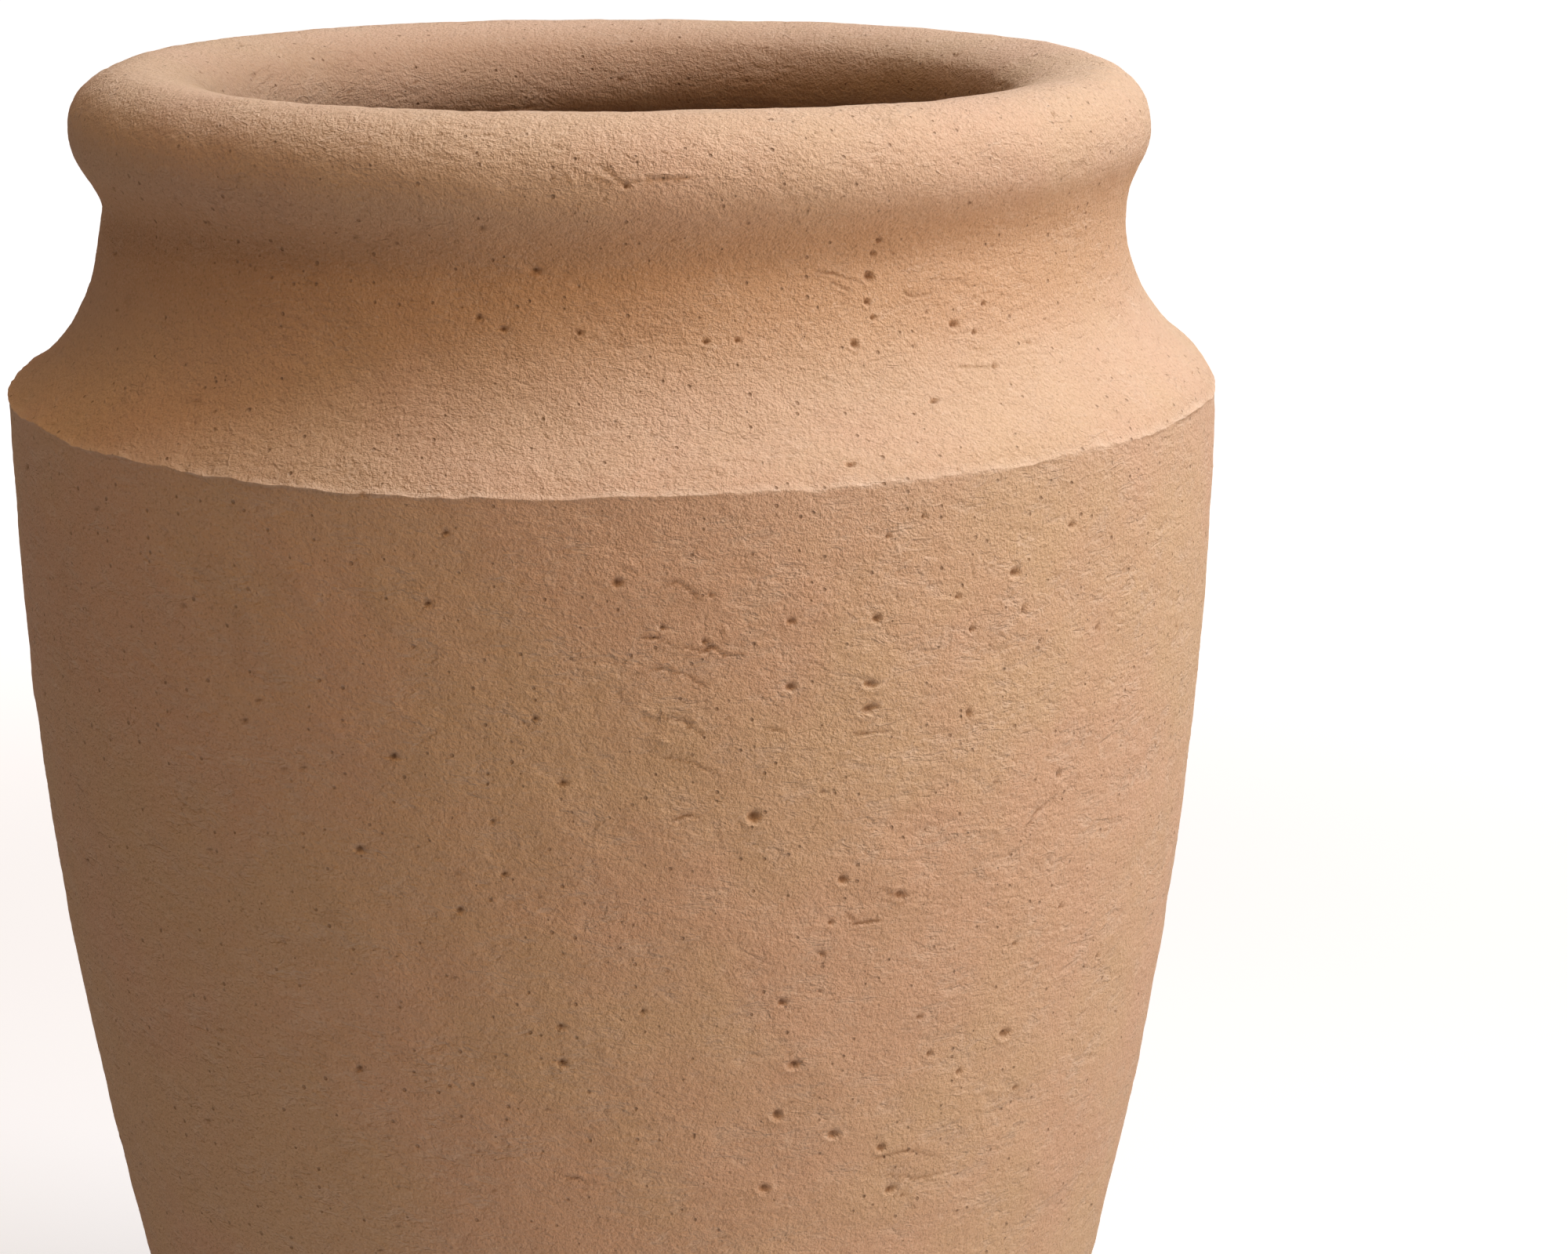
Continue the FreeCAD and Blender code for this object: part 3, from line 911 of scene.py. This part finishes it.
def clayMaterial():
    # fired clay: a pink and tan ground with brown clouds, cream on the collar and gold painted shade under the rim;
    # sandy grain, torn patches, thin lines sunk or raised, pinholes, pale painted highlights on edges with wear at the
    # sharp edge, and brown painted shade in pits, creases, pinholes and inside
    material = bpy.data.materials.new("fired_clay")
    material.use_nodes = True
    tree = material.node_tree
    tree.nodes.clear()
    start = Wire(tree)
    place = start.node("TexCoord", output="Object")

    def pattern(name):
        # a noise through space, finer upwards and tilted where its row says so
        scale, detail, roughness, distortion, upwards, tilt = patterns[name]
        where = place
        if (upwards, tilt) != (1.0, 0.0):
            where = start.node("Mapping", {}, {"Vector": place, "Scale": (1, 1, upwards),
                                               "Rotation": (tilt, tilt * 0.6, 0)})
        return start.node("TexNoise", {}, {"Vector": where, "Scale": scale, "Detail": detail,
                                           "Roughness": roughness, "Distortion": distortion})

    def masked(name, value):
        return value.eased(*masks[name])

    grain, crumple = pattern("grain"), pattern("crumple")
    # torn skin: shallow ragged patches, drawn out sideways, in two sizes
    upward = start.node("SeparateXYZ", {}, {"Vector": place}, "Z")
    collar = masked("collar", upward)
    broken = masked("broken", pattern("broken")) * (1 - collar * clay["collarCalm"])
    patch = masked("patch", pattern("patch"))
    chip = masked("chip", pattern("chip"))
    # thin short lines, sunk in some places and raised in others
    line = 1 - start.maths("ABSOLUTE", pattern("line") * 2 - 1) * clay["lineSharpness"]
    line = masked("line", line)
    raised = pattern("raised")
    crease = line * masked("raised", 1 - raised)
    ridge = line * masked("raised", raised)
    # pinholes: a round spot in some of the cells, its size by chance
    cell = start.node("TexVoronoi", {}, {"Vector": place, "Scale": clay["holesPerMetre"]})
    chance = start.node("SeparateColor", {}, {0: Wire(tree, cell.socket.node.outputs["Color"])})
    holeSize = masked("holeSize", chance) * clay["widestHole"] + clay["smallestHole"]
    hole = masked("holeRim", 1 - cell / holeSize) * masked("holeKept", chance)
    # painted shade from the mesh over 0; under 0, the pale band of wear and painted highlight above the sharp edge
    marked = start.node("Attribute", {"attribute_name": "paintedShadeAndWear"}, output="Fac")
    paintedDark = start.maths("MAXIMUM", marked, 0.0)
    edgeWearAndHighlight = start.maths("MAXIMUM", 0 - marked, 0.0)

    height = grain * clay["grainHeight"] + crumple * clay["crumpleHeight"]
    height = height - (patch * clay["patchDepth"] + chip * clay["chipDepth"]) * broken + ridge * clay["ridgeHeight"]
    height = height - crease * clay["creaseDepth"] - hole * clay["holeDepth"]
    bump = start.node("Bump", {}, {"Strength": 1.0, "Distance": 1.0, "Height": height}, "Normal")

    ground = mixed(start, masked("tan", pattern("tan")), clay["pink"], clay["tan"])
    ground = mixed(start, masked("brown", pattern("brown")) * clay["brownShare"], ground, clay["brown"])
    ground = mixed(start, collar * (1 - paintedDark) * clay["creamShare"], ground, clay["cream"])
    # painted shade: a gold band in the hollow under the rim
    underRimShade = masked("overNeck", upward) * (1 - masked("overHollow", upward))
    ground = mixed(start, underRimShade * clay["paintedShadeGoldShare"], ground, clay["paintedShadeGold"])
    sand = pattern("sand")
    ground = mixed(start, masked("sand", sand) * clay["lightGrainShare"], ground, clay["lightGrain"])
    ground = mixed(start, masked("sand", 1 - sand) * clay["darkGrainShare"], ground, clay["darkGrain"])
    # painted highlight: pale round the patches and on the raised lines, where edges catch the light; above the jar's
    # sharp edge, partly wear and partly painted highlight
    wearAndHighlight = patch * (1 - patch) * clay["patchHighlight"] + chip * (1 - chip) * clay["chipHighlight"]
    wearAndHighlight = wearAndHighlight * broken + ridge * clay["ridgeHighlight"] + edgeWearAndHighlight * clay["edgeWearAndHighlight"]
    ground = mixed(start, start.maths("MINIMUM", wearAndHighlight, clay["mostWearAndHighlight"]), ground, clay["wearAndHighlight"])
    # painted shade: brown mixed in where creases, chips, pinholes, pits and the inside lie
    shade = crease * clay["creaseShade"] + chip * broken * clay["chipShade"]
    shade = shade + hole * clay["holeShade"] + paintedDark * clay["hollowShade"]
    ground = mixed(start, start.maths("MINIMUM", shade, clay["mostShade"]), ground, clay["paintedShadeBrown"])
    shader = start.node("BsdfPrincipled", {}, {"Base Color": ground, "Roughness": clay["roughness"],
                                               "Specular IOR Level": clay["specular"], "Normal": bump})
    start.node("OutputMaterial", {}, {"Surface": shader})
    return material


clayFinish = clayMaterial()
for piece in pieces.values():
    piece.data.materials.append(clayFinish)
print("clay finish made")

studio = {
    "floorRings": (0.4, 1.0, 3.0, 15.0),    # radii in metres
    "floorSides": 64,
    "floorDrop": 0.0006,          # under the foot
    "floorColour": (0.62, 0.62, 0.62, 1),
    "floorGlow": 0.60,            # white shown near the jar, where the shadow lies; 1 further off
    "glowRise": (0.9, 2.6),       # metres from the axis
    "worldColour": (1.0, 0.52, 0.26, 1),
    "worldStrength": 0.16,
    "aim": (0, 0, 0.45),
    # azimuth from the camera round to the right, elevation, distance, size, watts, colour
    "lamps": {
        "key": (75, 55, 2.4, 0.9, 36.5, (0.80, 0.89, 1.0)),
        "behind": (120, 65, 2.4, 1.2, 8.4, (0.89, 0.93, 1.0)),
        "low": (62, 10, 3.0, 1.6, 32.5, (1.0, 0.71, 0.51)),
        "front": (15, 62, 2.4, 1.2, 15.8, (1.0, 0.66, 0.36)),
    },
}
white = (1, 1, 1, 1)


def shownRays(start):
    # 1 for camera, glossy and see-through rays, and 0 for the rays that light the jar
    camera, glossy, through = [start.node("LightPath", output="Is " + kind + " Ray")
                               for kind in ("Camera", "Glossy", "Transmission")]
    return start.maths("MAXIMUM", start.maths("MAXIMUM", camera, glossy), through)


def makeFloor():
    # a level disc of rings, a little under the foot; pale, and white to the camera where no shadow falls
    sides, drop = studio["floorSides"], -studio["floorDrop"]
    angles = np.linspace(0, 2 * math.pi, sides, endpoint=False)
    rings = [ringOf(radius, drop, angles) for radius in studio["floorRings"]]
    points = np.concatenate(rings + [np.array([[0, 0, drop]])])
    strips = [stripFaces(sides * (k + 1), sides, sides * k, sides)[0].tolist() for k in range(len(rings) - 1)]
    faces = sum(strips, []) + [[j, (j + 1) % sides, len(points) - 1] for j in range(sides)]
    mesh = bpy.data.meshes.new("floor")
    mesh.from_pydata(points.tolist(), [], faces)
    floor = bpy.data.objects.new("floor", mesh)
    bpy.context.scene.collection.objects.link(floor)
    material = bpy.data.materials.new("pale_floor")
    material.use_nodes = True
    material.node_tree.nodes.clear()
    start = Wire(material.node_tree)
    pale = start.node("BsdfDiffuse", {}, {"Color": studio["floorColour"]})
    away = start.node("VectorMath", {"operation": "LENGTH"}, {0: start.node("TexCoord", output="Object")}, "Value")
    strength = away.eased(*studio["glowRise"]) * (1 - studio["floorGlow"]) + studio["floorGlow"]
    glow = start.node("Emission", {}, {"Color": white, "Strength": shownRays(start) * strength})
    start.node("OutputMaterial", {}, {"Surface": start.node("AddShader", {}, {0: pale, 1: glow})})
    mesh.materials.append(material)


def makeWorld():
    # warm room light on the jar, plain white to the camera
    world = bpy.data.worlds.new("studio")
    bpy.context.scene.world = world
    world.use_nodes = True
    world.node_tree.nodes.clear()
    start = Wire(world.node_tree)
    room = start.node("Background", {}, {"Color": studio["worldColour"], "Strength": studio["worldStrength"]})
    plain = start.node("Background", {}, {"Color": white, "Strength": 1.0})
    shown = start.node("MixShader", {}, {0: shownRays(start), 1: room, 2: plain})
    start.node("OutputWorld", {}, {"Surface": shown})


def makeLamps():
    # soft square lamps aimed at the jar's shoulder, each at its distance along (sin a cos e, -cos a cos e, sin e)
    for name, (azimuth, elevation, distance, size, watts, colour) in studio["lamps"].items():
        a, e = math.radians(azimuth), math.radians(elevation)
        away = np.array([math.sin(a) * math.cos(e), -math.cos(a) * math.cos(e), math.sin(e)])
        data = bpy.data.lights.new(name, "AREA")
        data.shape, data.size, data.energy, data.color = "SQUARE", size, watts, colour
        lamp = bpy.data.objects.new(name, data)
        lamp.location = np.array(studio["aim"]) + distance * away
        lamp.rotation_euler = (quarterTurn - e, 0, a)
        bpy.context.scene.collection.objects.link(lamp)


makeFloor()
makeWorld()
makeLamps()
bpy.context.scene.view_settings.view_transform = "Standard"
print("studio lit")
